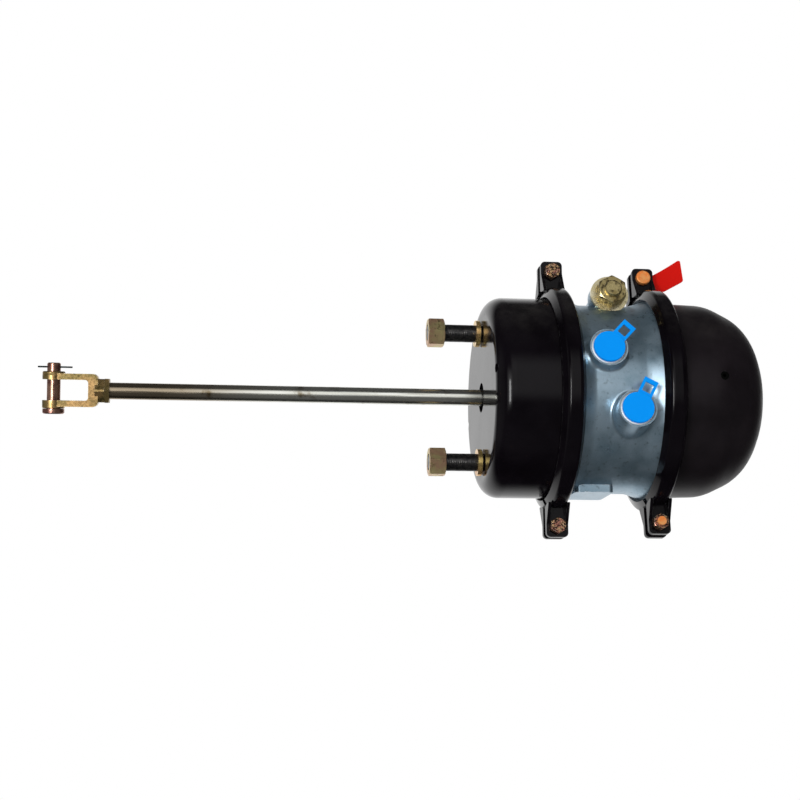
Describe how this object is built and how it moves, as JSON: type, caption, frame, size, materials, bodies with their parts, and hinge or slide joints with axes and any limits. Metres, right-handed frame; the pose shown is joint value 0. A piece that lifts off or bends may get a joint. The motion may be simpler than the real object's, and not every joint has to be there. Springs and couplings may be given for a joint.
{
  "type": "air brake chamber",
  "caption": "Double-diaphragm spring brake chamber with a long push rod, clevis and pin, mounting studs, two clamped diaphragms, capped air ports and a stowed release bolt.",
  "frame": {"origin": "centre of the mounting face, on the chamber's axis", "axes": "+X along the chamber towards the spring housing, push rod to -X; the two mounting studs and the ears of the front clamp lie in the XZ plane, and the rear clamp is turned 7 degrees; air ports open towards -Y, 8 degrees up"},
  "size_m": [0.6536, 0.21, 0.2643],
  "materials": {
    "gloss_black": "gloss black paint",
    "satin_black": "satin black paint",
    "black_oxide": "blackened steel",
    "yellow_zinc": "yellow chromated zinc on steel",
    "copper_zinc": "worn reddish plating",
    "bare_steel": "drawn bright steel",
    "spring_steel": "phosphated spring steel",
    "cast_aluminium": "die cast",
    "black_rubber": "matte",
    "nylon": "natural nylon",
    "blue_plastic": "bright blue moulded plastic",
    "red_plastic": "thin red plastic"
  },
  "bodies": {
    "chamber": {"service_housing": "gloss_black", "mounting_studs": "black_oxide", "mounting_nuts": "yellow_zinc", "lock_washers": "yellow_zinc", "service_return_spring": "spring_steel", "service_diaphragm": "black_rubber", "service_clamp_near": "gloss_black", "service_clamp_far": "gloss_black", "service_clamp_bolts": "yellow_zinc", "service_clamp_nuts": "yellow_zinc", "flange_case": "cast_aluminium", "rod_bushing": "nylon", "rod_seals": "black_rubber", "retaining_ring": "spring_steel", "adapter_return_spring": "spring_steel", "spring_diaphragm": "black_rubber", "power_spring": "spring_steel", "spring_housing": "satin_black", "spring_clamp_near": "gloss_black", "spring_clamp_far": "gloss_black", "spring_clamp_bolts": "yellow_zinc", "spring_clamp_nuts": "yellow_zinc", "vent_plug": "black_rubber", "warning_tag": "red_plastic"},
    "push_rod": {"push_rod": "bare_steel", "push_plate": "bare_steel", "jam_nut": "yellow_zinc", "clevis": "yellow_zinc"},
    "clevis_pin": {"clevis_pin": "copper_zinc", "cotter_pin": "bare_steel"},
    "adapter": {"adapter_rod": "bare_steel", "adapter_foot": "cast_aluminium", "adapter_plate": "bare_steel"},
    "piston": {"pressure_plate": "cast_aluminium"},
    "rear_plug": {"dust_plug": "black_rubber"},
    "release_bolt": {"caging_bolt": "yellow_zinc"},
    "release_washer": {"caging_washer": "yellow_zinc"},
    "release_nut": {"caging_nut": "yellow_zinc"},
    "service_cap": {"service_port_cap": "blue_plastic"},
    "spring_cap": {"spring_port_cap": "blue_plastic"}
  },
  "joints": [
    {"name": "push_rod_stroke", "type": "slide", "parent": "chamber", "child": "push_rod", "axis": [1, 0, 0], "range_m": [0, 0.057], "deforming": ["service_diaphragm", "service_return_spring"]},
    {"name": "adapter_stroke", "type": "slide", "parent": "chamber", "child": "adapter", "axis": [1, 0, 0], "range_m": [0, 0.057], "deforming": ["adapter_return_spring"]},
    {"name": "piston_stroke", "type": "slide", "parent": "chamber", "child": "piston", "axis": [1, 0, 0], "range_m": [0, 0.057], "deforming": ["spring_diaphragm", "power_spring"]},
    {"name": "clevis_pin_turn", "type": "hinge", "parent": "push_rod", "child": "clevis_pin", "pos_m": [-0.3865, 0, 0], "axis": [0, -0.2079, 0.9781], "continuous": true},
    {"name": "rear_plug_pull", "type": "slide", "parent": "chamber", "child": "rear_plug", "axis": [1, 0, 0], "range_m": [0, 0.03]},
    {"name": "release_bolt_slide", "type": "slide", "parent": "chamber", "child": "release_bolt", "axis": [0, 0.9903, -0.1392], "range_m": [0, 0.16]},
    {"name": "release_washer_travel", "type": "slide", "parent": "chamber", "child": "release_washer", "axis": [0, -0.9903, 0.1392], "range_m": [0, 0.02]},
    {"name": "release_nut_turn", "type": "hinge", "parent": "release_washer", "child": "release_nut", "pos_m": [0.114, -0.03471, 0.09071], "axis": [0, -0.9903, 0.1392], "range_deg": [0, 3600]},
    {"name": "service_cap_pull", "type": "slide", "parent": "chamber", "child": "service_cap", "axis": [0, -0.9903, 0.1392], "range_m": [0, 0.06]},
    {"name": "spring_cap_pull", "type": "slide", "parent": "chamber", "child": "spring_cap", "axis": [0, -0.9903, 0.1392], "range_m": [0, 0.06]}
  ],
  "couplings": [
    {"joint": "adapter_stroke", "follows": "push_rod_stroke", "ratio": 1},
    {"joint": "piston_stroke", "follows": "push_rod_stroke", "ratio": 1},
    {"joint": "release_washer_travel", "follows": "release_nut_turn", "m_per_rad": 0.00031831}
  ]
}
